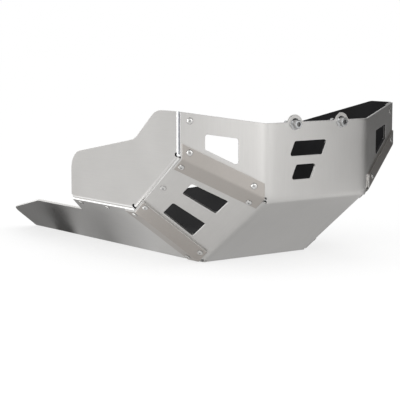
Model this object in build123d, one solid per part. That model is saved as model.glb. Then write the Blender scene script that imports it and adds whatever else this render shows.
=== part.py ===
from build123d import *
import os
from math import cos, hypot, radians, sin, tan

# Motorcycle skid plate: one folded aluminium pan, two side plates, four corner strips, rivets and
# two front bolts. Sizes are in millimetres. The pan is laid out with its front face at Y = 0, the
# tail towards +Y, the vehicle's right-hand side towards -X and the belly's underside at Z = 0.
# Everything is moved at the end so that the origin is under the middle of the part.

# Folded sheet of the pan and the side plates
sheet = 3.0
sheet_bend = 3.0            # inside radius of each fold
edge_gap = 0.3              # from a flap's cut edge to the start of the side plate's bend
flap_gap = 1.7              # from a flap's cut edge to the line where it would meet the next flap
corner_gap = 2.6            # radius of the notch where three folds come together

# Front panel and wings
front_half_width = 98.0
front_top = 216.5
front_fold = 104.0          # height of the fold between front panel and ramp
wing_angle = 28.0

# Ramp, facets, belly and chines
ramp_run = 142.0
ramp_half_width_top = 92.0
ramp_half_width_bottom = 98.5
facet_angle = 37.5
belly_half_width = 102.0
pan_length = 636.0
chine_angle = 38.8
chine_shelf = 104.0         # width of the chine behind the side plate
chine_tail = 57.5           # width of the chine at the rear edge
chine_cut_top = 341.0       # where the chine's edge leaves the side plate
chine_cut_bottom = 353.0
chine_taper = 490.0         # where the chine starts to narrow
tail_radius = 20.0

# Side plates
side_half_width = 207.8
side_top = 234.5
side_rear = 343.0
side_flange = 23.0          # width of the flanges that lie inside the pan
side_flange_rear = 340.5
flange_gap = 3.6            # from a flange's end to the line where two flaps would meet
relief_radius = 2.8         # holes where two bends of a side plate meet
relief_shift = 0.75         # place of those holes, from the sharp corner (0) to the bends' starts (1)
right_crest = 113.5         # end of the level top of the right-hand plate
right_crest_radius = 36.0
right_dip = 167.5           # foot of its steep edge
right_dip_height = 189.5
right_dip_radius = 34.0
right_tail_height = 157.5
left_crest = 105.0
left_crest_radius = 12.0
left_tail_height = 176.0
side_tail_radius = 31.0

# Windows
window_radius = 3.5
window_radius_share = 0.25  # most of a window's shortest side that its corner radius may take
wing_window_inner = 39.4    # from the fold to the window's near side
wing_window_outer = 87.0
wing_window_top = 26.5      # below the wing's top edge
wing_window_bottom = 25.3   # above the joint with the facet
facet_window_inner = 44.0
facet_window_outer = 103.7
facet_window_top = 37.5     # below the joint with the wing
facet_window_bottom = 31.8  # above the joint with the chine
upper_facet_window = (35.2, 26.9)  # heights of the facet's windows at their inner and outer sides
lower_facet_window = (36.8, 29.0)
front_window_height = 21.6
front_window_slant = 9.8    # sideways lean of the front windows over their height
upper_window_left = -49.7   # sides of the front windows at half their height
upper_window_right = 11.5
upper_window_base = 167.6
lower_window_left = -46.5
lower_window_right = -8.3
lower_window_base = 133.7

# Corner strips
strip = 2.5
strip_bend = 2.5
upper_strip_wing_leg = 19.0
upper_strip_facet_leg = 24.0
lower_strip_facet_leg = 26.0
lower_strip_chine_leg = 25.0
upper_strip_inner = 101.0   # inner ends of the strips, from the middle of the part
lower_strip_inner = 107.0
upper_strip_back = 2.5      # from a strip's outer end to the side plate's outer face
lower_strip_back = 0.5

# Blind rivets
rivet_diameter = 4.8
rivet_clearance = 0.1
rivet_head = 9.5
rivet_head_height = 1.7
rivet_head_rim = 0.4
rivet_dome_radius = 4.5
rivet_dimple = 2.7          # end of the pulled stem in the middle of the head
rivet_dimple_depth = 0.7
rivet_bulb = 7.0            # swelling on the blind side
rivet_bulb_height = 4.5
wing_rivet_inset = 17.5     # from the side plate's bend
wing_rivet_drop = 10.8      # below the wing's top edge
facet_rivet_inset = 14.5
chine_rivet_inset = 9.8
chine_rivet_places = (250.5, 324.5)
# Rivets of each strip leg: the outer one's distance from the side plate's bend and from the joint,
# then the inner one's distance from the joint and from the strip's inner end
upper_wing_rivets = (16.9, 12.0, 9.2, 12.5)
upper_facet_rivets = (14.8, 13.7, 19.0, 9.0)
lower_facet_rivets = (11.4, 19.8, 16.5, 6.0)
lower_chine_rivets = (11.5, 8.7, 13.2, 7.0)

# Front bolts and their ears
bolt_half_spacing = 44.5
bolt_drop = 3.0             # hole centre below the front panel's top edge
bolt_diameter = 8.0
bolt_clearance = 0.5
bolt_length = 22.0
bolt_neck = 7.0             # plain neck under the head, before the thread starts
bolt_neck_length = 4.0
bolt_flange = 17.0
bolt_flange_height = 2.0
bolt_hex = 12.0             # across flats
bolt_head_height = 8.0
bolt_chamfer = 0.8
bolt_dish = 6.8             # hollow in the end of the head
bolt_dish_depth = 1.5
ear_radius = 13.5
ear_blend = 5.0

# Holes in the belly
rear_hole_diameter = 9.0
rear_hole_half_spacing = 70.0
rear_hole_inset = 22.0      # from the rear edge
drain_hole_diameter = 52.0
drain_hole_place = 400.0

# Sizes that follow from the ones above
cut_depth = 6 * sheet       # half the length of a tool that cuts through a flap
ramp_inward = Vector(0, front_fold, ramp_run).normalized()
ramp_foot = Vector(-ramp_half_width_bottom, ramp_run, 0)
ramp_edge = Vector(-ramp_half_width_top, 0, front_fold) - ramp_foot
ramp_length = ramp_edge.length
upper_strip_outer = side_half_width - upper_strip_back
lower_strip_outer = side_half_width - lower_strip_back
bolt_places = (-bolt_half_spacing, bolt_half_spacing)


def flap_plane(origin, fold, inward, angle):
    """Outer face of a right-hand flap: local x away from its fold, y along it, z into the pan."""
    across = fold.cross(inward)
    turn = radians(angle)
    return Plane(origin, x_dir=across * cos(turn) + inward * sin(turn),
                 z_dir=inward * cos(turn) - across * sin(turn))


front_face = Plane(origin=(0, 0, 0), x_dir=(1, 0, 0), z_dir=(0, -1, 0))
side_face = Plane(origin=(-side_half_width, 0, 0), x_dir=(0, 1, 0), z_dir=(1, 0, 0))
wing = flap_plane(Vector(-front_half_width, 0, 0), Vector(0, 0, 1), Vector(0, 1, 0), wing_angle)
facet = flap_plane(ramp_foot, ramp_edge.normalized(), ramp_inward, facet_angle)
chine = flap_plane(Vector(-belly_half_width, 0, 0), Vector(0, -1, 0), Vector(0, 0, 1), chine_angle)


def place(plane, x, y, z=0.0):
    """Point in space of a local place on a flap."""
    return plane.origin + plane.x_dir * x + plane.y_dir * y + plane.z_dir * z


def meeting(plane, other, x):
    """Local y at which a flap's outer face meets another flap's outer face."""
    lift = other.z_dir.dot(place(plane, x, 0) - other.origin)
    return -lift / other.z_dir.dot(plane.y_dir)


def from_joint(plane, other, x, distance):
    """Local y of a line at a distance from that joint, measured square to it."""
    slope = meeting(plane, other, 1) - meeting(plane, other, 0)
    return meeting(plane, other, x) + distance * hypot(1, slope)


def corner_x(plane, y=0.0):
    """Local x at which a flap's inner face meets the side plate's outer face."""
    return (-side_half_width - place(plane, 0, y, sheet).X) / plane.x_dir.X


def span_x(plane, y, half_width):
    """Local x at a distance from the middle of the part."""
    return (-half_width - place(plane, 0, y).X) / plane.x_dir.X


def setback(angle):
    """Distance from a fold's sharp corner to the start of its bend."""
    return (sheet_bend + sheet) * tan(radians(angle) / 2)


def side_bend_angle(plane):
    """Turn between the side plate and its flange inside a flap."""
    return plane.z_dir.get_angle(side_face.z_dir)


def edge_x(plane, y=0.0):
    """Local x of a flap's cut edge, beside the side plate's bend."""
    return corner_x(plane, y) - setback(side_bend_angle(plane)) - edge_gap


def wing_top(x):
    """Height of the wing's top edge."""
    return front_top + (side_top - front_top) * x / corner_x(wing)


def prism(plane, points, radius=0.0):
    """Cutting tool of a flat outline, to both sides of a plane."""
    shape = Polygon(*points, align=None)
    if radius:
        shortest = min(edge.length for edge in shape.edges())
        shape = fillet(shape.vertices(), min(radius, window_radius_share * shortest))
    return extrude(plane * shape, cut_depth, both=True)


def fold_section(points, thickness, radius, side):
    """Section of a folded sheet that lies to one side of a line with rounded corners."""
    line = FilletPolyline(*points, radius=radius)
    return make_face(offset(line, thickness, side=side).edges())


def folded_flap(plane, angle, low, high, reach):
    """A flap with its bend and a short stub in the panel that it is folded from."""
    stub = 2 * setback(angle)
    turn = radians(angle)
    points = [(-stub * cos(turn), stub * sin(turn)), (0, 0), (reach, 0)]
    section = fold_section(points, sheet, sheet_bend + sheet, Side.LEFT)
    start = Plane(place(plane, 0, high), x_dir=plane.x_dir, z_dir=-plane.y_dir)
    return extrude(start * section, high - low, dir=start.z_dir)


def both_sides(right):
    """A right-hand shape with its mirror image."""
    return [right, mirror(right, about=Plane.YZ)]


# Pan

def middle_strip():
    """Front panel, ramp and belly between the side folds, with the ears on the front panel."""
    points = [(0, front_top), (0, front_fold), (ramp_run, 0), (pan_length, 0)]
    section = fold_section(points, sheet, sheet_bend + sheet, Side.LEFT)
    front_edge = front_half_width - setback(wing_angle)
    ramp_inset = setback(facet_angle)
    belly_edge = belly_half_width - setback(chine_angle)
    half_plan = Polygon(
        (0, -sheet), (-front_edge, -sheet), (-front_edge, sheet + edge_gap),
        (ramp_inset - ramp_half_width_top, sheet + edge_gap),
        (ramp_inset - ramp_half_width_bottom, ramp_run), (-belly_edge, ramp_run),
        (-belly_edge, pan_length + sheet), (0, pan_length + sheet), align=None)
    plan = extrude(half_plan + mirror(half_plan, about=Plane.YZ), front_top + sheet, dir=(0, 0, 1))
    body = extrude(Plane.YZ * section, side_half_width, both=True) & plan
    ears = Pos(0, front_top - ear_radius) * Rectangle(2 * front_edge, 2 * ear_radius)
    ears += [Pos(x, front_top - bolt_drop) * Circle(ear_radius) for x in bolt_places]
    top_corners = ears.vertices().filter_by(lambda v: abs(v.Y - front_top) < sheet / 10)
    roots = top_corners.filter_by(lambda v: abs(v.X) < front_edge - sheet)
    return body + extrude(front_face * fillet(roots, ear_blend), sheet, dir=(0, 1, 0))


def wing_flap():
    edge = edge_x(wing)
    stub = 2 * setback(wing_angle)
    root = from_joint(wing, facet, 0, flap_gap)
    points = [(-stub, front_top), (0, front_top), (edge, wing_top(edge)),
              (edge, from_joint(wing, facet, edge, flap_gap)), (0, root), (-stub, root)]
    return folded_flap(wing, wing_angle, front_fold, side_top + sheet, edge) & prism(wing, points)


def facet_flap():
    stub = 2 * setback(facet_angle)
    clear = corner_gap + sheet
    low, high = edge_x(facet), edge_x(facet, ramp_length)
    points = [(-stub, ramp_length - clear), (0, ramp_length - clear),
              (clear, from_joint(facet, wing, clear, -flap_gap)),
              (high, from_joint(facet, wing, high, -flap_gap)),
              (low, from_joint(facet, chine, low, flap_gap)),
              (clear, from_joint(facet, chine, clear, flap_gap)), (0, clear), (-stub, clear)]
    return folded_flap(facet, facet_angle, -ramp_run, 2 * ramp_length, side_half_width) & prism(facet, points)


def chine_flap():
    edge = edge_x(chine)
    stub = 2 * setback(chine_angle)
    front = from_joint(chine, facet, 0, -flap_gap)
    points = [(-stub, front), (0, front), (edge, from_joint(chine, facet, edge, -flap_gap)),
              (edge, -chine_cut_top), (chine_shelf, -chine_cut_bottom), (chine_shelf, -chine_taper),
              (chine_tail, -pan_length), (-stub, -pan_length)]
    shape = Polygon(*points, align=None)
    tail = shape.vertices().sort_by_distance((chine_tail, -pan_length))[0]
    outline = extrude(chine * fillet(tail, tail_radius), cut_depth, both=True)
    return folded_flap(chine, chine_angle, -pan_length - sheet, 0, edge) & outline


def corner_notches():
    """Round notches where the folds of front panel, ramp and belly end."""
    upper = Vector(-front_half_width, 0, front_fold)
    lower = Vector(-belly_half_width, ramp_run, 0)
    places = ((upper, ramp_inward + Vector(0, 1, 0)), (lower, ramp_inward + Vector(0, 0, 1)))
    return [Plane(point, z_dir=axis) * Cylinder(corner_gap, 2 * cut_depth) for point, axis in places]


def front_windows():
    lean = front_window_slant / 2
    sides = ((upper_window_left, upper_window_right, upper_window_base),
             (lower_window_left, lower_window_right, lower_window_base))
    tools = []
    for left, right, base in sides:
        top = base + front_window_height
        points = [(left - lean, base), (right - lean, base), (right + lean, top), (left + lean, top)]
        tools.append(prism(front_face, points, window_radius))
    return tools


def wing_window():
    inner, outer = wing_window_inner, wing_window_outer
    points = [(inner, from_joint(wing, facet, inner, wing_window_bottom)),
              (outer, from_joint(wing, facet, outer, wing_window_bottom)),
              (outer, wing_top(outer) - wing_window_top), (inner, wing_top(inner) - wing_window_top)]
    return prism(wing, points, window_radius)


def facet_windows():
    """Two windows: one hangs from a line beside the wing's joint, one stands on a line beside the chine's."""
    sides = (facet_window_inner, facet_window_outer)
    top = [(x, from_joint(facet, wing, x, -facet_window_top)) for x in sides]
    bottom = [(x, from_joint(facet, chine, x, facet_window_bottom)) for x in sides]
    upper_sill = [(x, y - height) for (x, y), height in zip(top, upper_facet_window)]
    lower_head = [(x, y + height) for (x, y), height in zip(bottom, lower_facet_window)]
    return [prism(facet, upper_sill + top[::-1], window_radius),
            prism(facet, bottom + lower_head[::-1], window_radius)]


def belly_holes():
    tools = [Pos(0, drain_hole_place, 0) * Cylinder(drain_hole_diameter / 2, cut_depth)]
    for x in (-rear_hole_half_spacing, rear_hole_half_spacing):
        tools.append(Pos(x, pan_length - rear_hole_inset, 0) * Cylinder(rear_hole_diameter / 2, cut_depth))
    return tools


def main_plate(rivet_holes):
    flaps = [flap for right in (wing_flap(), facet_flap(), chine_flap()) for flap in both_sides(right)]
    plate = middle_strip() + flaps
    tools = front_windows() + belly_holes() + [place_bolt(x, bolt_hole()) for x in bolt_places]
    for tool in corner_notches() + [wing_window()] + facet_windows() + rivet_holes:
        tools += both_sides(tool)
    return plate - tools


# Side plates

def side_flange_solid(plane, points):
    """Flange that lies inside a flap, trimmed by an outline on that flap's face."""
    bend = plane.z_dir.cross(side_face.z_dir).normalized()
    inner_face = Plane(place(plane, corner_x(plane), 0, sheet),
                       x_dir=bend.cross(plane.z_dir), z_dir=plane.z_dir)
    angle = side_bend_angle(plane)
    return folded_flap(inner_face, angle, -side_rear, side_rear, side_flange) & prism(plane, points)


def side_flanges():
    tools = []
    near, far = corner_x(wing) - 2 * side_flange, corner_x(wing) + cut_depth
    foot = from_joint(wing, facet, corner_x(wing), flange_gap)
    tools.append(side_flange_solid(wing, [
        (near, wing_top(near)), (corner_x(wing), side_top), (far, side_top), (far, foot),
        (corner_x(wing), foot), (near, from_joint(wing, facet, near, flange_gap))]))
    ends = (corner_x(facet) - 2 * side_flange, corner_x(facet) + cut_depth)
    head = [(x, from_joint(facet, wing, x, -flange_gap)) for x in ends]
    foot = [(x, from_joint(facet, chine, x, flange_gap)) for x in ends]
    tools.append(side_flange_solid(facet, head + foot[::-1]))
    ends = (corner_x(chine) - 2 * side_flange, corner_x(chine) + cut_depth)
    head = [(x, from_joint(chine, facet, x, -flange_gap)) for x in ends]
    rear = [(x, -side_flange_rear) for x in ends]
    tools.append(side_flange_solid(chine, head + rear[::-1]))
    return tools


def side_plate(top_points, top_radii, rivet_holes):
    """Right-hand side plate with a top edge through the given corners."""
    front = place(wing, corner_x(wing), 0, sheet).Y
    low = place(chine, corner_x(chine), 0, sheet).Z
    foot = place(facet, corner_x(facet), 0, sheet)
    head = place(facet, corner_x(facet, ramp_length), ramp_length, sheet)
    slope = (head.Z - foot.Z) / (head.Y - foot.Y)
    lift = setback(side_bend_angle(facet)) * hypot(1, slope)
    front_line = front + setback(side_bend_angle(wing))
    low_line = low + setback(side_bend_angle(chine))

    def bend_height(y):
        return foot.Z + slope * (y - foot.Y)

    def bend_place(z):
        return foot.Y + (z - foot.Z) / slope

    top = FilletPolyline((front_line, side_top), *top_points, (side_rear, low_line), radius=top_radii)
    corners = [Vector(bend_place(low_line - lift), low_line),
               Vector(front_line, bend_height(front_line) + lift)]
    rest = Polyline((side_rear, low_line), *corners, (front_line, side_top))
    face = side_face * make_face(top.edges() + rest.edges())
    plate = extrude(face, sheet, dir=side_face.z_dir) + side_flanges()
    sharp_corners = [Vector(bend_place(low), low), Vector(front, bend_height(front))]
    reliefs = [sharp + (corner - sharp) * relief_shift for sharp, corner in zip(sharp_corners, corners)]
    tools = [side_face * Pos(each) * Cylinder(relief_radius, 2 * cut_depth) for each in reliefs]
    return plate - (tools + rivet_holes)


# Corner strips

def corner_strip(first, second, first_leg, second_leg, inner, outer, rivet_holes):
    """V-bent strip on the outer faces of two flaps, over the joint between them."""
    along = first.z_dir.cross(second.z_dir).normalized()
    first_way = along.cross(first.z_dir).normalized()
    second_way = second.z_dir.cross(along).normalized()
    middle_x = corner_x(first) / 2
    end = Plane(place(first, middle_x, meeting(first, second, middle_x)), x_dir=first_way, z_dir=along)
    second_end = (second_leg * second_way.dot(end.x_dir), second_leg * second_way.dot(end.y_dir))
    section = fold_section([(first_leg, 0), (0, 0), second_end], strip, strip_bend, Side.RIGHT)
    blank = extrude(end * section, side_half_width, both=True)
    reach = Pos(-(inner + outer) / 2, 0, 0) * Box(outer - inner, 2 * pan_length, 2 * pan_length)
    return (blank & reach) - rivet_holes


# Blind rivets

def station(plane, x, y, strips, sheets):
    """Seat of a rivet's head on a flap or strip, with the thickness that it grips."""
    seat = Plane(place(plane, x, y, -strips * strip), x_dir=plane.x_dir, z_dir=plane.z_dir)
    return seat, strips * strip + sheets * sheet


def strip_stations(plane, other, way, inner, rivets):
    """Rivets of one leg of a strip: the outer one also holds the side plate's flange."""
    inset, outer_distance, inner_distance, end_distance = rivets
    outer_x = corner_x(plane, meeting(plane, other, corner_x(plane))) - inset
    inner_x = span_x(plane, meeting(plane, other, 0), inner + end_distance)
    return [station(plane, outer_x, from_joint(plane, other, outer_x, way * outer_distance), 1, 2),
            station(plane, inner_x, from_joint(plane, other, inner_x, way * inner_distance), 1, 1)]


def side_stations():
    """Rivets that hold only the side plate to the pan."""
    wing_x = corner_x(wing) - wing_rivet_inset
    middle = meeting(facet, wing, corner_x(facet)) + meeting(facet, chine, corner_x(facet))
    places = [(wing, wing_x, wing_top(wing_x) - wing_rivet_drop),
              (facet, corner_x(facet, middle / 2) - facet_rivet_inset, middle / 2)]
    places += [(chine, corner_x(chine) - chine_rivet_inset, -y) for y in chine_rivet_places]
    return [station(plane, x, y, 0, 2) for plane, x, y in places]


def rivet(seat, grip):
    """Domed head outside, shank through the stack and swelling inside."""
    head, shank, stem, bulb = (d / 2 for d in (rivet_head, rivet_diameter, rivet_dimple, rivet_bulb))
    floor = rivet_dimple_depth - rivet_head_height
    dome = RadiusArc((stem, -rivet_head_height), (head, -rivet_head_rim), -rivet_dome_radius)
    tip = grip + rivet_bulb_height
    rest = Polyline((head, -rivet_head_rim), (head, 0), (shank, 0), (shank, grip), (bulb, grip),
                    (bulb, tip - bulb / 2), (bulb / 2, tip), (0, tip), (0, floor), (stem, floor),
                    (stem, -rivet_head_height))
    return seat * revolve(Plane.XZ * make_face(dome.edges() + rest.edges()), Axis.Z)


def rivet_hole(seat, grip):
    radius = (rivet_diameter + rivet_clearance) / 2
    return seat * Pos(0, 0, grip / 2) * Cylinder(radius, grip + 2 * sheet)


# Front bolts

def place_bolt(x, shape):
    return front_face * Pos(x, front_top - bolt_drop, 0) * shape


def bolt_hole():
    return Cylinder((bolt_diameter + bolt_clearance) / 2, 2 * cut_depth)


def front_bolt():
    """Hexagon bolt with a flange under its head, head towards +Z."""
    corners = RegularPolygon(bolt_hex / 2, 6, major_radius=False)
    head = extrude(corners, bolt_head_height)
    head = chamfer(head.faces().sort_by(Axis.Z)[-1].edges(), bolt_chamfer)
    upwards = (Align.CENTER, Align.CENTER, Align.MIN)
    downwards = (Align.CENTER, Align.CENTER, Align.MAX)
    flange = Cone(bolt_flange / 2, bolt_hex / 2, bolt_flange_height, align=upwards)
    thread = Cylinder(bolt_diameter / 2, bolt_length - bolt_neck_length, align=downwards)
    thread = Pos(0, 0, -bolt_neck_length) * chamfer(thread.edges().filter_by(GeomType.CIRCLE), bolt_chamfer)
    neck = Cylinder(bolt_neck / 2, bolt_neck_length + sheet, align=downwards)
    dish = Pos(0, 0, bolt_head_height) * Cylinder(bolt_dish / 2, 2 * bolt_dish_depth)
    return head + flange + neck + thread - dish


# Build and write

wing_leg_rivets = strip_stations(wing, facet, 1, upper_strip_inner, upper_wing_rivets)
facet_top_rivets = strip_stations(facet, wing, -1, upper_strip_inner, upper_facet_rivets)
facet_low_rivets = strip_stations(facet, chine, 1, lower_strip_inner, lower_facet_rivets)
chine_leg_rivets = strip_stations(chine, facet, -1, lower_strip_inner, lower_chine_rivets)
upper_rivets = wing_leg_rivets + facet_top_rivets
lower_rivets = facet_low_rivets + chine_leg_rivets
side_rivets = side_stations()
upper_holes = [rivet_hole(*each) for each in upper_rivets]
lower_holes = [rivet_hole(*each) for each in lower_rivets]
side_holes = [rivet_hole(*each) for each in side_rivets]
all_holes = upper_holes + lower_holes + side_holes

right_top = [(right_crest, side_top), (right_dip, right_dip_height), (side_rear, right_tail_height)]
left_top = [(left_crest, side_top), (side_rear, left_tail_height)]
right_plate = side_plate(right_top, [right_crest_radius, right_dip_radius, side_tail_radius], all_holes)
left_plate = side_plate(left_top, [left_crest_radius, side_tail_radius], all_holes)

nodes = {"main_plate": main_plate(all_holes), "right_side_plate": right_plate,
         "left_side_plate": mirror(left_plate, about=Plane.YZ)}
right_pieces = {
    "upper_strip": corner_strip(wing, facet, upper_strip_wing_leg, upper_strip_facet_leg,
                                upper_strip_inner, upper_strip_outer, upper_holes),
    "lower_strip": corner_strip(facet, chine, lower_strip_facet_leg, lower_strip_chine_leg,
                                lower_strip_inner, lower_strip_outer, lower_holes),
    "upper_strip_rivets": Compound([rivet(*each).solid() for each in upper_rivets]),
    "lower_strip_rivets": Compound([rivet(*each).solid() for each in lower_rivets]),
    "side_plate_rivets": Compound([rivet(*each).solid() for each in side_rivets])}
for name, right in right_pieces.items():
    nodes["right_" + name], nodes["left_" + name] = both_sides(right)
for x, name in zip(bolt_places, ("right_front_bolt", "left_front_bolt")):
    nodes[name] = place_bolt(x, front_bolt())

os.makedirs("parts", exist_ok=True)
to_origin = Pos(0, (bolt_head_height - pan_length) / 2, 0)
for name, shape in nodes.items():
    export_step(to_origin * shape, "parts/" + name + ".step")
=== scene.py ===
import math

import bpy
from bpy.props import FloatProperty, FloatVectorProperty, PointerProperty
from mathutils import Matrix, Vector


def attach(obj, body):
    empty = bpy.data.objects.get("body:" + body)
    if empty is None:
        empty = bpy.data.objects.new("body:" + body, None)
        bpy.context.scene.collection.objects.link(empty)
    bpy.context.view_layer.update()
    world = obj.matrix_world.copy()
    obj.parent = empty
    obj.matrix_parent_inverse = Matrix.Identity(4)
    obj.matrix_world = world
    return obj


bl_info = {
    "name": "Motorcycle Skid Plate",
    "version": (1, 0, 0),
    "blender": (4, 5, 0),
    "location": "View3D > Sidebar > Skid Plate",
    "description": "Finishes the sheets, rivets and bolts of a skid plate and sets up its studio",
    "category": "Object",
}

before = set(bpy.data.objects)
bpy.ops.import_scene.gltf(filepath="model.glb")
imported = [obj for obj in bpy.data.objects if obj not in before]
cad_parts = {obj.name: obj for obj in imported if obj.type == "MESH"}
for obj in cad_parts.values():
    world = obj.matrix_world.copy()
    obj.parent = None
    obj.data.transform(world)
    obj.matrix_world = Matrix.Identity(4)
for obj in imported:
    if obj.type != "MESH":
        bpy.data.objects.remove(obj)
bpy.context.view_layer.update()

SIDES = ("right", "left")

# Inward normals of the folded panels, turned to the part's right-hand half
FRONT_PANEL = (0.0, 1.0, 0.0)
WING = (0.4695, 0.8829, 0.0)
RAMP = (0.0, 0.5909, 0.8068)
FACET = (0.6083, 0.4869, 0.6268)
BELLY = (0.0, 0.0, 1.0)
CHINE = (0.6266, 0.0, 0.7793)
SIDE = (1.0, 0.0, 0.0)

# Least cosine between a face and the panel that it belongs to, and the height under which the belly lies
PANEL_MATCH = 0.88
BELLY_TOP = 0.02

# Distances of the pan's outer faces from the origin, and how far the light spreads over a fold
PAN_PLANES = ((FRONT_PANEL, 0.314), (WING, 0.32324), (RAMP, 0.10164), (FACET, 0.14366), (BELLY, 0.0),
              (CHINE, 0.06391))
FOLD_SPREAD = 0.002

# Least cosines of faces that look outwards, look to the middle, end at the wing and lie on a facet's rim
LOOKS_OUT = 0.45
LOOKS_BACK = 0.3
SEAM_MATCH = 0.9
RIM_MATCH = 0.98

# Cosines to the nearest panel between which a bend starts and is full, and the least slope of a low bend
BEND_START = 0.985
BEND_FULL = 0.91
LOW_BEND_SLOPE = 0.02

# Distances from the middle: where the pan's outer edges start, and the painted highlight along the facets'
# ones
OUTER_EDGE = 0.2
FACET_RIM = 0.2061

# Centres of the side plates' relief holes in Y and Z, and the reach of the painted shade in them
RELIEF_HOLES = ((-0.1429, 0.0911), (-0.2495, 0.1739))
RELIEF_REACH = 0.0031

# Front bolts: place of their axes, the hollow in the head, and the thread with its height as bump
BOLT_X = 0.0445
BOLT_Z = 0.2135
DISH_RADIUS = 0.00345
DISH_BACK = -0.3195
THREAD_START = -0.3099
THREAD_PITCH = 0.00125
THREAD_HEIGHT = 6.0

# Floors of the hollows in the right-hand rivets' heads, by the panel that they are square to
RIVET_HOLLOWS = (
    (WING, ((-0.19593, -0.26589, 0.17688), (-0.11514, -0.30885, 0.12872), (-0.19423, -0.26397, 0.2212))),
    (FACET, ((-0.2005, -0.2515, 0.15517), (-0.11293, -0.29387, 0.10309), (-0.20205, -0.16448, 0.08908),
             (-0.11437, -0.18059, 0.01649), (-0.19874, -0.20519, 0.12148))),
    (CHINE, ((-0.20291, -0.13764, 0.07664), (-0.11619, -0.15167, 0.00692), (-0.20267, -0.0635, 0.07966),
             (-0.20267, 0.0105, 0.07966))),
)

# Reach of the painted shade round a rivet's head, where the ambient occlusion finds the surface closed in
RIVET_SHADE_REACH = 0.004

# Broken stems in those hollows: sizes, sides, and the least cosine between the top face and Z. Then the
# break: lip and wall as shares of the radius, rise and dip as shares of the height, tilt and smooth angle
STEM_RADIUS = 0.0011
STEM_HEIGHT = 0.00045
STEM_ROOT = 0.0001
STEM_SIDES = 20
STEM_TOP_MATCH = 0.9
STEM_LIP = 0.2
STEM_WALL = 0.3
STEM_RISE = 0.15
STEM_DIP = 0.4
STEM_TILT = 0.2
STEM_SMOOTH_ANGLE = math.radians(40.0)

# Lines of the rolled sheets per metre along X, Y and Z
PAN_GRAIN = (700.0, 25.0, 25.0)
SIDE_GRAIN = (25.0, 25.0, 700.0)
STRIP_GRAIN = (25.0, 500.0, 500.0)

# Spots per metre: blotches and speckle of the sheets, marks and patches of the fixings, pits of the stems
BLOTCHES = 9.0
SPECKLE = 900.0
MARKS = 1600.0
PATCHES = 260.0
PITS = 2400.0

# Values of a pattern between which it runs from none to full
PATTERN_RANGE = (0.3, 0.7)

# How the patterns are mixed: blotches over lines for shade, then speckle for roughness, dust and height
BLOTCH_SHARE = 0.65
ROUGH_SPECKLE = 0.4
ROUGH_RANGE = (0.4, 1.0)
DUST_SPECKLE = 0.5
DUST_RANGE = (0.55, 0.95)
LINE_HEIGHT = 0.7
SPECKLE_HEIGHT = 0.5

# Deepest and palest shades against a piece's own colour
SHEET_DEEP = 0.95
SHEET_PALE = 1.05
FIXING_DEEP = 0.88
DUST_PALE = 2.2

# Shares of bare metal and painted highlight on corners and fixings' edges, of painted highlight on facets'
# rims and low bends, and of painted shade and pits on the fixings
CORNER_WEAR_AND_HIGHLIGHT = 0.35
RIM_HIGHLIGHT = 0.9
LOW_BEND_HIGHLIGHT = 0.2
FIXING_WEAR_AND_HIGHLIGHT = 0.4
FIXING_SHADE_AND_PITS = 0.8

# Cosines of a sharp corner and an even face, and ranges of the painted shade on rivets and threads and of the
# pits on stems
CORNER_RANGE = (0.9, 0.99)
RIVET_SHADE_RANGE = (0.995, 0.88)
PIT_RANGE = (0.5, 0.65)
VALLEY_RANGE = (0.15, 0.6)

# Roughness: steps down and up by the patterns, cut edges with their share, and the inside with its shine
POLISHED_STEP = 0.05
SHEET_DULL_STEP = 0.05
FIXING_DULL_STEP = 0.07
CUT_ROUGHNESS = 0.25
CUT_SHARE = 0.6
INSIDE_ROUGHNESS = 0.55
INSIDE_SHINE = 0.04

# Floor: size, height and colour, its glow as mirrored and as the camera sees it, and the glow's shares
FLOOR_SIZE = 24.0
FLOOR_HEIGHT = -0.0005
FLOOR_COLOUR = (0.9, 0.9, 0.9, 1.0)
GLOW_MIRRORED = 0.8
GLOW_SEEN = 1.08
GLOW_SHARE_MIRRORED = 0.55
GLOW_SHARE_SEEN = 0.65

# Room, soft boxes with their places, targets and sizes, and the camera's sensor in millimetres
WHITE = (1.0, 1.0, 1.0, 1.0)
SIDE_BOX = ((-1.35, -0.62, 0.33), (-0.2, -0.25, 0.2), (0.55, 0.6))
FRONT_BOX = ((-0.1, -1.5, 0.9), (-0.05, -0.3, 0.12), (0.8, 0.6))
SENSOR_WIDTH = 36.0

# Turns of the cards in the studio, with their length along X, Y and Y
FACING_FRONT = (math.pi / 2, 0.0, 0.0)
FACING_SIDE = (math.pi / 2, 0.0, math.pi / 2)
FACING_UP = (0.0, 0.0, math.pi / 2)

# Heights of the cards that lie on the floor, and of one that lies over another
LAID = 0.0008
LAID_OVER = 0.0011


def even(level):
    """Stops of a card that is as bright all over."""
    return (0.0, level), (1.0, level)


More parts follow.
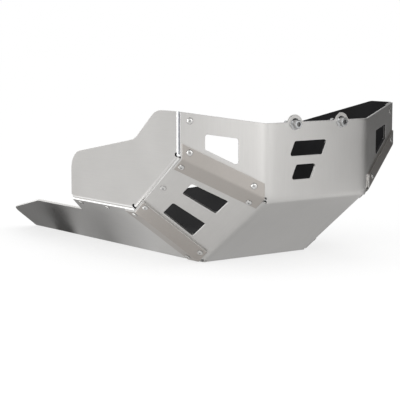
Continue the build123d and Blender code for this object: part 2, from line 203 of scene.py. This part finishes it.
# Cards that only reflections show: name, place, size, turn, and places along the length with their levels
CARDS = (
    ("left_card", (0.8, -0.26, 0.17), (1.72, 0.34), FACING_SIDE, even(0.155)),
    ("upper_left_card", (0.8, -0.3, 0.64), (1.4, 0.6), FACING_SIDE, even(0.3)),
    ("front_left_card", (1.0, -1.63, 0.3), (1.15, 0.6), FACING_SIDE,
     ((0.0, 3.2), (0.297, 2.8), (0.496, 1.75), (0.661, 0.3))),
    ("front_card", (-0.4, -1.5, 0.3), (1.4, 0.6), FACING_FRONT,
     ((0.236, 0.3), (0.58, 2.1), (0.72, 1.4), (0.86, 1.1), (1.0, 1.1))),
    ("near_left_card", (0.55, -0.7, 0.2), (0.5, 0.4), FACING_SIDE, ((0.0, 0.7), (0.3, 0.1), (1.0, 0.05))),
    ("rear_card", (-0.35, 1.6, 0.85), (1.2, 1.4), FACING_FRONT, even(2.0)),
    ("tail_card", (-0.165, 0.2, LAID), (0.52, 0.126), FACING_UP,
     ((0.0, 0.68), (0.175, 0.47), (0.26, 0.3), (0.45, 0.42), (0.5, 0.075), (0.58, 0.075), (0.605, 0.23),
      (1.0, 0.2))),
    ("band_card", (-0.175, 0.218, LAID_OVER), (0.062, 0.07), FACING_UP, even(0.01)),
    ("ramp_card", (0.06, -0.23, LAID), (0.18, 0.32), FACING_UP, even(0.55)),
    ("bounce_card", (-0.32, 0.1, LAID), (0.3, 0.17), FACING_UP, even(1.15)),
    ("rivet_card", (-0.262, -0.09, LAID), (0.09, 0.06), FACING_UP, even(2.2)),
    ("left_floor_card", (0.5, -0.25, LAID), (0.4, 0.44), FACING_UP, even(0.35)),
    ("upper_card", (0.6, -1.2, 1.5), (2.6, 2.6), FACING_UP, even(0.08)),
)


class SkidFinish(bpy.types.PropertyGroup):
    """Colours and surface of the metal."""

    sheet_colour: FloatVectorProperty(
        name="Sheet", description="Satin aluminium of the pan and the side plates",
        subtype="COLOR", size=3, min=0.0, max=1.0, default=(0.60, 0.59, 0.575))
    strip_colour: FloatVectorProperty(
        name="Corner strips", description="Slightly darker aluminium of the corner strips",
        subtype="COLOR", size=3, min=0.0, max=1.0, default=(0.435, 0.408, 0.382))
    cut_colour: FloatVectorProperty(
        name="Cut edges", description="Other cut edges of the pan and the side plates",
        subtype="COLOR", size=3, min=0.0, max=1.0, default=(0.38, 0.375, 0.365))
    # Bare metal with painted highlight: pale colour on the pan's outer cut edges, on corners, on the facets'
    # rims and on the side plates' bends
    bare_and_highlight_colour: FloatVectorProperty(
        name="Bare metal", description="Side edges and corners where the satin surface is worn off",
        subtype="COLOR", size=3, min=0.0, max=1.0, default=(0.90, 0.90, 0.89))
    # Bare metal with painted highlight on the corner strips' cut edges
    strip_cut_and_highlight_colour: FloatVectorProperty(
        name="Cut edges of the strips", description="Bare metal of the corner strips' cut edges",
        subtype="COLOR", size=3, min=0.0, max=1.0, default=(0.60, 0.59, 0.575))
    # Painted shade on the end of the side plate's bend where it meets the wing
    seam_shade_colour: FloatVectorProperty(
        name="Joint", description="Dirt in the upright joint between a wing and its side plate",
        subtype="COLOR", size=3, min=0.0, max=1.0, default=(0.30, 0.305, 0.32))
    # Painted shade: near black on cut edges that face the middle, round the rivets' feet, in the threads and
    # in the bolts' heads; it also colours the pits on the rivet stems
    shade_and_pit_colour: FloatVectorProperty(
        name="Shade", description="Dirt round the rivets, in the threads and in the bolts' heads",
        subtype="COLOR", size=3, min=0.0, max=1.0, default=(0.06, 0.058, 0.055))
    # Painted shade: near black on the sheets' inner faces, for the shade inside the pan
    inner_shade_colour: FloatVectorProperty(
        name="Inside", description="Dark finish of the sheets' inner faces",
        subtype="COLOR", size=3, min=0.0, max=1.0, default=(0.0085, 0.0085, 0.009))
    rivet_colour: FloatVectorProperty(
        name="Rivets", description="Plain aluminium of the rivet heads",
        subtype="COLOR", size=3, min=0.0, max=1.0, default=(0.66, 0.655, 0.64))
    stem_colour: FloatVectorProperty(
        name="Rivet stems", description="Steel of the stems that broke off in the rivets",
        subtype="COLOR", size=3, min=0.0, max=1.0, default=(0.44, 0.44, 0.45))
    bolt_colour: FloatVectorProperty(
        name="Bolts", description="Zinc plate of the front bolts",
        subtype="COLOR", size=3, min=0.0, max=1.0, default=(0.50, 0.505, 0.51))
    sheet_roughness: FloatProperty(
        name="Sheet roughness", description="Roughness of the satin sheets",
        subtype="FACTOR", min=0.0, max=1.0, default=0.37)
    rivet_roughness: FloatProperty(
        name="Rivet roughness", description="Roughness of the rivet heads",
        subtype="FACTOR", min=0.0, max=1.0, default=0.26)
    stem_roughness: FloatProperty(
        name="Stem roughness", description="Roughness of the broken stems",
        subtype="FACTOR", min=0.0, max=1.0, default=0.32)
    bolt_roughness: FloatProperty(
        name="Bolt roughness", description="Roughness of the front bolts",
        subtype="FACTOR", min=0.0, max=1.0, default=0.2)
    edge_radius: FloatProperty(
        name="Edge rounding", description="Radius to which the sheets' cut edges look broken",
        subtype="DISTANCE", unit="LENGTH", min=0.0, max=0.003, default=0.0011)
    fixing_edge_radius: FloatProperty(
        name="Edge rounding of fixings", description="Radius to which edges of rivets and bolts look broken",
        subtype="DISTANCE", unit="LENGTH", min=0.0, max=0.003, default=0.00044)


class SkidStudio(bpy.types.PropertyGroup):
    """Camera and light."""

    camera_target: FloatVectorProperty(
        name="Target", description="Point that the camera looks at",
        subtype="TRANSLATION", unit="LENGTH", size=3, default=(-0.06788, -0.119, 0.08671))
    camera_distance: FloatProperty(
        name="Distance", description="From the camera to its target",
        subtype="DISTANCE", unit="LENGTH", min=0.1, default=2.1167)
    camera_bearing: FloatProperty(
        name="Bearing", description="Turn of the camera from the front towards the right-hand side",
        subtype="ANGLE", unit="ROTATION", default=math.radians(36.93))
    camera_rise: FloatProperty(
        name="Rise", description="Angle of the camera above the horizon",
        subtype="ANGLE", unit="ROTATION", default=math.radians(7.12))
    camera_lens: FloatProperty(
        name="Lens", description="Focal length in millimetres on a 36 mm sensor",
        subtype="DISTANCE_CAMERA", unit="CAMERA", min=10.0, default=123.74)
    room_strength: FloatProperty(
        name="Room light", description="Strength of the soft light from all round",
        min=0.0, default=0.95)
    side_power: FloatProperty(
        name="Side box", description="Power of the soft box on the right-hand side",
        unit="POWER", min=0.0, default=5.0)
    front_power: FloatProperty(
        name="Front box", description="Power of the soft box at the front",
        unit="POWER", min=0.0, default=3.0)


class Tree:
    """A material's or the world's node tree, with short calls to add and link nodes."""

    # Sockets of the Mix node by kind of data: first value, second value and result
    MIX_SOCKETS = {"FLOAT": (2, 3, 0), "VECTOR": (4, 5, 1), "RGBA": (6, 7, 2)}

    def __init__(self, owner):
        owner.use_nodes = True
        self.tree = owner.node_tree
        self.tree.nodes.clear()

    def add(self, kind, inputs=None, **settings):
        node = self.tree.nodes.new("ShaderNode" + kind)
        for name, value in settings.items():
            setattr(node, name, value)
        for name, value in (inputs or {}).items():
            if isinstance(value, bpy.types.NodeSocket):
                self.tree.links.new(value, node.inputs[name])
            else:
                node.inputs[name].default_value = value
        return node

    def math(self, operation, a, b=0.0):
        return self.add("Math", {0: a, 1: b}, operation=operation).outputs[0]

    def times(self, a, b):
        return self.math("MULTIPLY", a, b)

    def plus(self, a, b, share=1.0):
        """The first value and a share of the second one."""
        return self.add("Math", {0: b, 1: share, 2: a}, operation="MULTIPLY_ADD").outputs[0]

    def either(self, a, b):
        return self.math("MAXIMUM", a, b)

    def rest(self, mask):
        return self.math("SUBTRACT", 1.0, mask)

    def beyond(self, value, limit):
        return self.math("GREATER_THAN", value, limit)

    def below(self, value, limit):
        return self.math("LESS_THAN", value, limit)

    def split(self, vector):
        return self.add("SeparateXYZ", {0: vector}).outputs

    def vector(self, x, y, z):
        return self.add("CombineXYZ", {0: x, 1: y, 2: z}).outputs[0]

    def dot(self, a, b):
        return self.add("VectorMath", {0: a, 1: b}, operation="DOT_PRODUCT").outputs["Value"]

    def mix(self, kind, factor, a, b):
        first, second, result = self.MIX_SOCKETS[kind]
        return self.add("Mix", {0: factor, first: a, second: b}, data_type=kind).outputs[result]

    def blend(self, factor, a, b):
        return self.mix("FLOAT", factor, a, b)

    def tint(self, factor, a, b):
        return self.mix("RGBA", factor, a, b)

    def spread(self, value, low, high, to_low=0.0, to_high=1.0):
        node = self.add("MapRange", {"Value": value, "From Min": low, "From Max": high,
                                     "To Min": to_low, "To Max": to_high})
        return node.outputs["Result"]


def new_material(name):
    material = bpy.data.materials.new(name)
    return material, Tree(material)


def colour4(values, shade=1.0):
    """A colour for a socket, made paler or deeper by a shade."""
    return (*(min(1.0, value * shade) for value in values), 1.0)


def give(node_name, material):
    """Puts a material on a CAD node."""
    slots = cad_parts[node_name].data.materials
    slots.clear()
    slots.append(material)


def grain(tree, place, stretch):
    """Fine lines of the rolled sheet, with a stretch for each axis, in lines per metre."""
    turned = tree.add("Mapping", {"Vector": place, "Scale": stretch}).outputs["Vector"]
    lines = tree.add("TexNoise", {"Vector": turned, "Scale": 1.0, "Detail": 4.0, "Roughness": 0.6})
    return lines.outputs["Fac"]


def cloud(tree, place, scale, detail):
    """Soft blotches, with a scale in blotches per metre."""
    node = tree.add("TexNoise", {"Vector": place, "Scale": scale, "Detail": detail, "Roughness": 0.55})
    return node.outputs["Fac"]


def sheet_faces(tree, place, panels):
    """Masks of a folded sheet's faces, by name.

    inner looks into the pan, outer away from it, cut is an edge, side looks outwards on the outside,
    bend lies between two panels, low_bend is such a bend that slopes, seam is the end of the bend at the
    wing, rim lies along a facet's outer edge, back looks towards the middle, and hole is in a relief hole."""
    across = tree.split(place)
    normal = tree.split(tree.add("NewGeometry").outputs["True Normal"])
    half = tree.math("SIGN", across["X"])
    from_middle = tree.math("ABSOLUTE", across["X"])
    inwards = tree.times(tree.times(normal["X"], half), -1.0)
    turned = tree.vector(inwards, normal["Y"], normal["Z"])
    inner, nearest = 0.0, -1.0
    for panel in panels:
        facing = tree.dot(turned, panel)
        faces = tree.beyond(facing, PANEL_MATCH)
        if panel is FRONT_PANEL:
            faces = tree.times(faces, tree.below(across["Y"], 0.0))
        if panel is BELLY:
            faces = tree.times(faces, tree.below(across["Z"], BELLY_TOP))
        inner = tree.either(faces, inner)
        nearest = tree.either(tree.times(facing, -1.0), nearest)
    outer = tree.beyond(nearest, PANEL_MATCH)
    flat = tree.vector(0.0, across["Y"], across["Z"])
    hole = 0.0
    for y, z in RELIEF_HOLES:
        away = tree.add("VectorMath", {0: flat, 1: (0.0, y, z)}, operation="DISTANCE").outputs["Value"]
        hole = tree.either(tree.below(away, RELIEF_REACH), hole)
    return {"inner": inner,
            "outer": outer,
            "cut": tree.rest(tree.either(inner, outer)),
            "side": tree.times(tree.below(inwards, -LOOKS_OUT), tree.beyond(from_middle, OUTER_EDGE)),
            "bend": tree.spread(nearest, BEND_START, BEND_FULL),
            "low_bend": tree.beyond(tree.times(normal["Y"], normal["Z"]), LOW_BEND_SLOPE),
            "seam": tree.below(tree.dot(turned, WING), -SEAM_MATCH),
            "rim": tree.times(tree.below(tree.dot(turned, FACET), -RIM_MATCH),
                              tree.beyond(from_middle, FACET_RIM)),
            "back": tree.beyond(inwards, LOOKS_BACK),
            "hole": hole}


def broken_edges(tree, radius):
    """Normals rounded over sharp edges, and a mask that is 1 along them."""
    rounded = tree.add("Bevel", {"Radius": radius}, samples=6).outputs["Normal"]
    flat = tree.add("NewGeometry").outputs["Normal"]
    return rounded, tree.spread(tree.dot(rounded, flat), *CORNER_RANGE, 1.0, 0.0)


def soft_folds(tree, place, planes):
    """Normals of the pan's outer faces that turn slowly from one panel to the next."""
    across = tree.split(place)
    right_x = tree.times(tree.math("ABSOLUTE", across["X"]), -1.0)
    point = tree.vector(right_x, across["Y"], across["Z"])
    total = (0.0, 0.0, 0.0)
    for panel, distance in planes:
        outward = [-value for value in panel]
        height = tree.math("SUBTRACT", tree.dot(point, outward), distance)
        weight = tree.math("EXPONENT", tree.math("DIVIDE", height, FOLD_SPREAD))
        total = tree.add("VectorMath", {0: outward, 1: weight, 2: total}, operation="MULTIPLY_ADD").outputs[0]
    turned = tree.split(tree.add("VectorMath", {0: total}, operation="NORMALIZE").outputs[0])
    outwards = tree.times(tree.times(turned["X"], tree.math("SIGN", across["X"])), -1.0)
    return tree.vector(outwards, turned["Y"], turned["Z"])


def pan_edges(tree, faces, metal, finish):
    """Sheared edges of the pan: bare metal with a painted highlight at the sides, painted shade on those that
    face the middle, and a painted highlight along the facets' rims.
    """
    # Painted shade on the cut edges that face the middle, such as the window and hole walls
    edge = tree.tint(faces["back"], colour4(finish.cut_colour), colour4(finish.shade_and_pit_colour))
    edge = tree.tint(faces["side"], edge, colour4(finish.bare_and_highlight_colour))
    metal = tree.tint(faces["cut"], metal, edge)
    # Painted highlight along the facets' rims
    return tree.tint(tree.times(faces["rim"], RIM_HIGHLIGHT), metal, colour4(finish.bare_and_highlight_colour))


def side_edges(tree, faces, metal, finish):
    """Edges of a side plate: cut edges in their own colour with painted shade on those that face the middle,
    a painted highlight on its outer bends, weaker on the low bend, and painted shade at the end of the bend
    by the wing.
    """
    # Painted shade on the cut edges that face the middle
    edge = tree.tint(faces["back"], colour4(finish.cut_colour), colour4(finish.shade_and_pit_colour))
    metal = tree.tint(faces["cut"], metal, edge)
    # Painted highlight on the outer bends, weaker on the sloping low bend
    bend_highlight = tree.times(tree.times(faces["bend"], faces["side"]),
                        tree.blend(faces["low_bend"], 1.0, LOW_BEND_HIGHLIGHT))
    metal = tree.tint(bend_highlight, metal, colour4(finish.bare_and_highlight_colour))
    # Painted shade at the end of the bend by the wing
    return tree.tint(faces["seam"], metal, colour4(finish.seam_shade_colour))


def strip_edges(tree, faces, metal, finish):
    """Cut edges of a corner strip: bare metal with a painted highlight."""
    return tree.tint(faces["cut"], metal, colour4(finish.strip_cut_and_highlight_colour))


def satin_sheet(name, colour, finish, stretch, panels, edges, shaded_inside=True, planes=()):
    """Rolled aluminium with a satin surface and edges of its own.

    It has painted shade, near black, on its inner faces and in its relief holes when it is shaded inside, and
    its folds are soft between the planes that are given."""
    material, tree = new_material(name)
    place = tree.add("TexCoord").outputs["Object"]
    lines = grain(tree, place, stretch)
    blotches = cloud(tree, place, BLOTCHES, detail=3.0)
    speckle = cloud(tree, place, SPECKLE, detail=2.0)
    rounded, corners = broken_edges(tree, finish.edge_radius)
    faces = sheet_faces(tree, place, panels)
    if planes:
        open_face = tree.times(faces["outer"], tree.rest(corners))
        rounded = tree.mix("VECTOR", open_face, rounded, soft_folds(tree, place, planes))

    shade = tree.spread(tree.blend(BLOTCH_SHARE, lines, blotches), *PATTERN_RANGE)
    metal = tree.tint(shade, colour4(colour, SHEET_DEEP), colour4(colour, SHEET_PALE))
    metal = edges(tree, faces, metal, finish)
    # Bare metal and painted highlight along the corners
    metal = tree.tint(tree.times(corners, CORNER_WEAR_AND_HIGHLIGHT), metal, colour4(finish.bare_and_highlight_colour))
    rough = tree.spread(tree.plus(blotches, speckle, ROUGH_SPECKLE), *ROUGH_RANGE,
                        finish.sheet_roughness - POLISHED_STEP, finish.sheet_roughness + SHEET_DULL_STEP)
    rough = tree.blend(tree.times(faces["cut"], CUT_SHARE), rough, CUT_ROUGHNESS)
    metallic = 1.0
    if shaded_inside:
        dust = tree.spread(tree.plus(blotches, speckle, DUST_SPECKLE), *DUST_RANGE)
        inner_shade = tree.tint(dust, colour4(finish.inner_shade_colour), colour4(finish.inner_shade_colour, DUST_PALE))
        # Painted shade: the inner faces and the relief holes' walls are painted near black, with paler dust,
        # and are not metal
        dark = tree.either(faces["inner"], faces["hole"])
        metal = tree.tint(dark, metal, inner_shade)
        metallic = tree.rest(dark)
        rough = tree.blend(dark, rough, INSIDE_ROUGHNESS)
    height = tree.plus(tree.times(lines, LINE_HEIGHT), speckle, SPECKLE_HEIGHT)
    bump = tree.add("Bump", {"Strength": 0.12, "Distance": 0.0002, "Height": height, "Normal": rounded})
    shader = tree.add("BsdfPrincipled", {"Base Color": metal, "Metallic": metallic, "Roughness": rough,
                                         "Specular IOR Level": INSIDE_SHINE,
                                         "Normal": bump.outputs["Normal"]})
    tree.add("OutputMaterial", {"Surface": shader.outputs["BSDF"]})
    return material


def rivet_detail(tree, place):
    """Painted shade round the foot of a rivet's head where the ambient occlusion finds it closed in, on an
    even surface.
    """
    open_sky = tree.add("AmbientOcclusion", {"Distance": RIVET_SHADE_REACH}, samples=8).outputs["AO"]
    return tree.spread(open_sky, *RIVET_SHADE_RANGE), 0.0


def stem_detail(tree, place):
    """Dark pits on the broken end of a rivet's stem, on an even surface."""
    return tree.spread(cloud(tree, place, PITS, detail=2.0), *PIT_RANGE), 0.0


def bolt_detail(tree, place):
    """Painted shade in the hollow of a bolt's head and in the valleys of its thread, and the thread's height.
    """
    across = tree.split(place)
    x = tree.math("SUBTRACT", across["X"], tree.times(tree.math("SIGN", across["X"]), BOLT_X))
    z = tree.math("SUBTRACT", across["Z"], BOLT_Z)
    off_axis = tree.math("SQRT", tree.plus(tree.times(x, x), tree.times(z, z)))
    # Painted shade in the hollow of the head
    dish = tree.times(tree.below(off_axis, DISH_RADIUS), tree.below(across["Y"], DISH_BACK))
    turn = tree.math("DIVIDE", tree.math("ARCTAN2", z, x), 2.0 * math.pi)
    turns = tree.plus(turn, tree.math("DIVIDE", across["Y"], THREAD_PITCH))
    ridge = tree.times(tree.math("PINGPONG", turns, 0.5), 2.0)
    threaded = tree.beyond(across["Y"], THREAD_START)
    # Painted shade in the thread's valleys
    valleys = tree.times(tree.spread(ridge, *VALLEY_RANGE, 1.0, 0.0), threaded)
    return tree.either(dish, valleys), tree.times(tree.times(ridge, THREAD_HEIGHT), threaded)


def plain_metal(name, colour, roughness, finish, detail):
    """Turned or pressed metal of the small fixings, with fine marks, dull patches, bare metal and painted
    highlight on the edges, and painted shade on rivets and bolts or pits on stems as the detail gives.
    """
    material, tree = new_material(name)
    place = tree.add("TexCoord").outputs["Object"]
    marks = cloud(tree, place, MARKS, detail=4.0)
    patches = cloud(tree, place, PATCHES, detail=2.0)
    rounded, edges = broken_edges(tree, finish.fixing_edge_radius)
    pits_and_painted_shade, relief = detail(tree, place)
    metal = tree.tint(tree.spread(patches, *PATTERN_RANGE), colour4(colour, FIXING_DEEP), colour4(colour))
    # Bare metal and painted highlight along the fixings' edges
    metal = tree.tint(tree.times(edges, FIXING_WEAR_AND_HIGHLIGHT), metal, colour4(finish.bare_and_highlight_colour))
    # Darkened where the detail says: painted shade on rivets and bolts, pits on the stems
    metal = tree.tint(tree.times(pits_and_painted_shade, FIXING_SHADE_AND_PITS), metal, colour4(finish.shade_and_pit_colour))
    rough = tree.spread(marks, *PATTERN_RANGE, roughness - POLISHED_STEP, roughness + FIXING_DULL_STEP)
    height = tree.plus(marks, relief)
    bump = tree.add("Bump", {"Strength": 0.15, "Distance": 0.0001, "Height": height, "Normal": rounded})
    shader = tree.add("BsdfPrincipled", {"Base Color": metal, "Metallic": 1.0, "Roughness": rough,
                                         "Normal": bump.outputs["Normal"]})
    tree.add("OutputMaterial", {"Surface": shader.outputs["BSDF"]})
    return material


class SKID_OT_main_plate(bpy.types.Operator):
    """Finishes the folded pan"""

    bl_idname = "skid.main_plate"
    bl_label = "Main Plate"

    def execute(self, context):
        finish = context.scene.skid_finish
        panels = (FRONT_PANEL, WING, RAMP, FACET, BELLY, CHINE)
        give("main_plate", satin_sheet("pan_sheet", finish.sheet_colour, finish, PAN_GRAIN, panels,
                                       pan_edges, planes=PAN_PLANES))
        return {"FINISHED"}


class SKID_OT_side_plates(bpy.types.Operator):
    """Finishes the two side plates"""

    bl_idname = "skid.side_plates"
    bl_label = "Side Plates"

    def execute(self, context):
        finish = context.scene.skid_finish
        panels = (SIDE, WING, FACET, CHINE)
        sheet = satin_sheet("side_sheet", finish.sheet_colour, finish, SIDE_GRAIN, panels, side_edges)
        for side in SIDES:
            give(side + "_side_plate", sheet)
        return {"FINISHED"}


class SKID_OT_corner_strips(bpy.types.Operator):
    """Finishes the four bent strips over the corner joints"""

    bl_idname = "skid.corner_strips"
    bl_label = "Corner Strips"

    def execute(self, context):
        finish = context.scene.skid_finish
        panels = (WING, FACET, CHINE)
        sheet = satin_sheet("strip_sheet", finish.strip_colour, finish, STRIP_GRAIN, panels, strip_edges,
                            shaded_inside=False)
        for side in SIDES:
            for level in ("upper", "lower"):
                give(f"{side}_{level}_strip", sheet)
        return {"FINISHED"}


class SKID_OT_rivets(bpy.types.Operator):
    """Finishes the blind rivets"""

    bl_idname = "skid.rivets"
    bl_label = "Rivets"

    def execute(self, context):
        finish = context.scene.skid_finish
        metal = plain_metal("rivet_aluminium", finish.rivet_colour, finish.rivet_roughness, finish,
                            rivet_detail)
        for side in SIDES:
            for group in ("upper_strip", "lower_strip", "side_plate"):
                give(f"{side}_{group}_rivets", metal)
        return {"FINISHED"}


class SKID_OT_rivet_stems(bpy.types.Operator):
    """Models the broken stem in the hollow of each rivet's head"""

    bl_idname = "skid.rivet_stems"
    bl_label = "Rivet Stems"

    def execute(self, context):
        finish = context.scene.skid_finish
        first = self.model_stem()
        copies = []
        for panel, floors in RIVET_HOLLOWS:
            for x, y, z in floors:
                for half in (1.0, -1.0):
                    outward = Vector((-panel[0] * half, -panel[1], -panel[2]))
                    copies.append(self.place_copy(first, (x * half, y, z), outward))
        bpy.data.objects.remove(first)
        bpy.ops.object.select_all(action="DESELECT")
        for copy in copies:
            copy.select_set(True)
        context.view_layer.objects.active = copies[0]
        bpy.ops.object.transform_apply(location=True, rotation=True, scale=True)
        bpy.ops.object.join()
        stems = context.object
        stems.name = "rivet_stems"
        stems.data.materials.append(plain_metal("stem_steel", finish.stem_colour, finish.stem_roughness,
                                                finish, stem_detail))
        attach(stems, "root")
        return {"FINISHED"}

    def model_stem(self):
        """One stem that stands on the origin, with a hollowed and slightly tilted break."""
        bpy.ops.object.select_all(action="DESELECT")
        bpy.ops.mesh.primitive_cylinder_add(vertices=STEM_SIDES, radius=STEM_RADIUS,
                                            depth=STEM_HEIGHT + STEM_ROOT,
                                            location=(0.0, 0.0, (STEM_HEIGHT - STEM_ROOT) / 2))
        bpy.ops.object.transform_apply(location=True, rotation=True, scale=True)
        stem = bpy.context.object
        for face in stem.data.polygons:
            face.select = face.normal.z > STEM_TOP_MATCH
        bpy.ops.object.mode_set(mode="EDIT")
        bpy.ops.mesh.inset(thickness=STEM_RADIUS * STEM_LIP)
        bpy.ops.transform.translate(value=(0.0, 0.0, STEM_HEIGHT * STEM_RISE))
        bpy.ops.mesh.inset(thickness=STEM_RADIUS * STEM_WALL)
        bpy.ops.transform.translate(value=(0.0, 0.0, -STEM_HEIGHT * STEM_DIP))
        bpy.ops.transform.rotate(value=STEM_TILT, orient_axis="X", center_override=(0.0, 0.0, STEM_HEIGHT))
        bpy.ops.object.mode_set(mode="OBJECT")
        bpy.ops.object.shade_smooth_by_angle(angle=STEM_SMOOTH_ANGLE)
        return stem

    def place_copy(self, first, place, outward):
        """A copy of the first stem with its own mesh, on a place and square to a panel."""
        bpy.ops.object.select_all(action="DESELECT")
        first.select_set(True)
        bpy.context.view_layer.objects.active = first
        bpy.ops.object.duplicate()
        copy = bpy.context.object
        copy.location = place
        copy.rotation_euler = outward.to_track_quat("Z", "Y").to_euler()
        return copy


class SKID_OT_front_bolts(bpy.types.Operator):
    """Finishes the two bolts in the front panel's ears"""

    bl_idname = "skid.front_bolts"
    bl_label = "Front Bolts"

    def execute(self, context):
        finish = context.scene.skid_finish
        metal = plain_metal("zinc_plate", finish.bolt_colour, finish.bolt_roughness, finish, bolt_detail)
        for side in SIDES:
            give(side + "_front_bolt", metal)
        return {"FINISHED"}


def aim(item, target):
    """Turns a lamp or a camera towards a point."""
    item.rotation_euler = (Vector(target) - item.location).to_track_quat("-Z", "Y").to_euler()


def soft_box(name, place, target, size, power):
    """A rectangular lamp that shows in reflections but not to the camera."""
    data = bpy.data.lights.new(name, "AREA")
    data.shape = "RECTANGLE"
    data.size, data.size_y = size
    data.energy = power
    lamp = bpy.data.objects.new(name, data)
    bpy.context.scene.collection.objects.link(lamp)
    lamp.location = place
    aim(lamp, target)
    lamp.visible_camera = False


def reflected_card(name, place, size, turn, stops):
    """A card that only reflections show, to shape the light on bare metal.

    Its brightness runs along its length through stops, each a place from 0 to 1 and a level."""
    bpy.ops.object.select_all(action="DESELECT")
    bpy.ops.mesh.primitive_plane_add(size=1.0, location=place, rotation=turn)
    card = bpy.context.object
    card.name = name
    card.scale = (*size, 1.0)
    material, tree = new_material(name)
    along = tree.split(tree.add("TexCoord").outputs["Object"])["X"]
    ramp = tree.add("ValToRGB", {0: tree.spread(along, -0.5, 0.5)})
    peak = max(level for _, level in stops)
    elements = ramp.color_ramp.elements
    while len(elements) < len(stops):
        elements.new(1.0)
    for element, (position, level) in zip(elements, stops):
        element.position = position
        element.color = colour4((level / peak,) * 3)
    glow = tree.add("Emission", {"Color": ramp.outputs["Color"], "Strength": peak})
    tree.add("OutputMaterial", {"Surface": glow.outputs[0]})
    card.data.materials.append(material)
    card.visible_camera = False
    card.visible_diffuse = False
    card.visible_shadow = False


class SKID_OT_stage(bpy.types.Operator):
    """Adds the floor, the light and the camera"""

    bl_idname = "skid.stage"
    bl_label = "Studio"

    def execute(self, context):
        studio = context.scene.skid_studio
        self.add_floor()
        self.light_room(context.scene, studio)
        self.add_camera(context.scene, studio)
        context.scene.view_settings.view_transform = "Standard"
        return {"FINISHED"}

    def add_floor(self):
        """A pale floor that keeps the shadow and glows a little, so that it ends in white."""
        bpy.ops.object.select_all(action="DESELECT")
        bpy.ops.mesh.primitive_plane_add(size=FLOOR_SIZE, location=(0.0, 0.0, FLOOR_HEIGHT))
        floor = bpy.context.object
        floor.name = "floor"
        material, tree = new_material("studio_floor")
        rays = tree.add("LightPath").outputs
        paper = tree.add("BsdfDiffuse", {"Color": FLOOR_COLOUR})
        glow = tree.add("Emission", {"Strength": tree.blend(rays["Is Camera Ray"], GLOW_MIRRORED, GLOW_SEEN)})
        share = tree.either(tree.times(rays["Is Camera Ray"], GLOW_SHARE_SEEN),
                            tree.times(rays["Is Glossy Ray"], GLOW_SHARE_MIRRORED))
        mixed = tree.add("MixShader", {0: share, 1: paper.outputs[0], 2: glow.outputs[0]})
        tree.add("OutputMaterial", {"Surface": mixed.outputs[0]})
        floor.data.materials.append(material)

    def light_room(self, scene, studio):
        """Soft light from all round that the camera sees as white, two soft boxes and the cards."""
        world = bpy.data.worlds.new("studio_room")
        scene.world = world
        tree = Tree(world)
        room = tree.add("Background", {"Color": WHITE, "Strength": studio.room_strength})
        white = tree.add("Background", {"Color": WHITE, "Strength": 1.0})
        seen = tree.add("LightPath").outputs["Is Camera Ray"]
        mixed = tree.add("MixShader", {0: seen, 1: room.outputs[0], 2: white.outputs[0]})
        tree.add("OutputWorld", {"Surface": mixed.outputs[0]})
        soft_box("side_box", *SIDE_BOX, studio.side_power)
        soft_box("front_box", *FRONT_BOX, studio.front_power)
        for card in CARDS:
            reflected_card(*card)

    def add_camera(self, scene, studio):
        data = bpy.data.cameras.new("photo_camera")
        data.lens = studio.camera_lens
        data.sensor_width = SENSOR_WIDTH
        camera = bpy.data.objects.new("photo_camera", data)
        scene.collection.objects.link(camera)
        turn, rise = studio.camera_bearing, studio.camera_rise
        back = Vector((-math.sin(turn) * math.cos(rise), -math.cos(turn) * math.cos(rise), math.sin(rise)))
        camera.location = Vector(studio.camera_target) + back * studio.camera_distance
        aim(camera, studio.camera_target)
        scene.camera = camera


PIECES = (SKID_OT_main_plate, SKID_OT_side_plates, SKID_OT_corner_strips, SKID_OT_rivets,
          SKID_OT_rivet_stems, SKID_OT_front_bolts, SKID_OT_stage)


class SKID_PT_panel(bpy.types.Panel):
    """Lists the skid plate's pieces and settings"""

    bl_idname = "SKID_PT_panel"
    bl_label = "Skid Plate"
    bl_space_type = "VIEW_3D"
    bl_region_type = "UI"
    bl_category = "Skid Plate"

    def draw(self, context):
        for piece in PIECES:
            self.layout.operator(piece.bl_idname)
        for group in (context.scene.skid_finish, context.scene.skid_studio):
            box = self.layout.box()
            for name in group.__annotations__:
                box.prop(group, name)


CLASSES = (SkidFinish, SkidStudio, *PIECES, SKID_PT_panel)


def register():
    for item in CLASSES:
        bpy.utils.register_class(item)
    bpy.types.Scene.skid_finish = PointerProperty(type=SkidFinish)
    bpy.types.Scene.skid_studio = PointerProperty(type=SkidStudio)


def unregister():
    del bpy.types.Scene.skid_studio
    del bpy.types.Scene.skid_finish
    for item in reversed(CLASSES):
        bpy.utils.unregister_class(item)


def main():
    register()
    bpy.ops.skid.main_plate()
    bpy.ops.skid.side_plates()
    bpy.ops.skid.corner_strips()
    bpy.ops.skid.rivets()
    bpy.ops.skid.rivet_stems()
    bpy.ops.skid.front_bolts()
    bpy.ops.skid.stage()


if __name__ == "__main__":
    main()
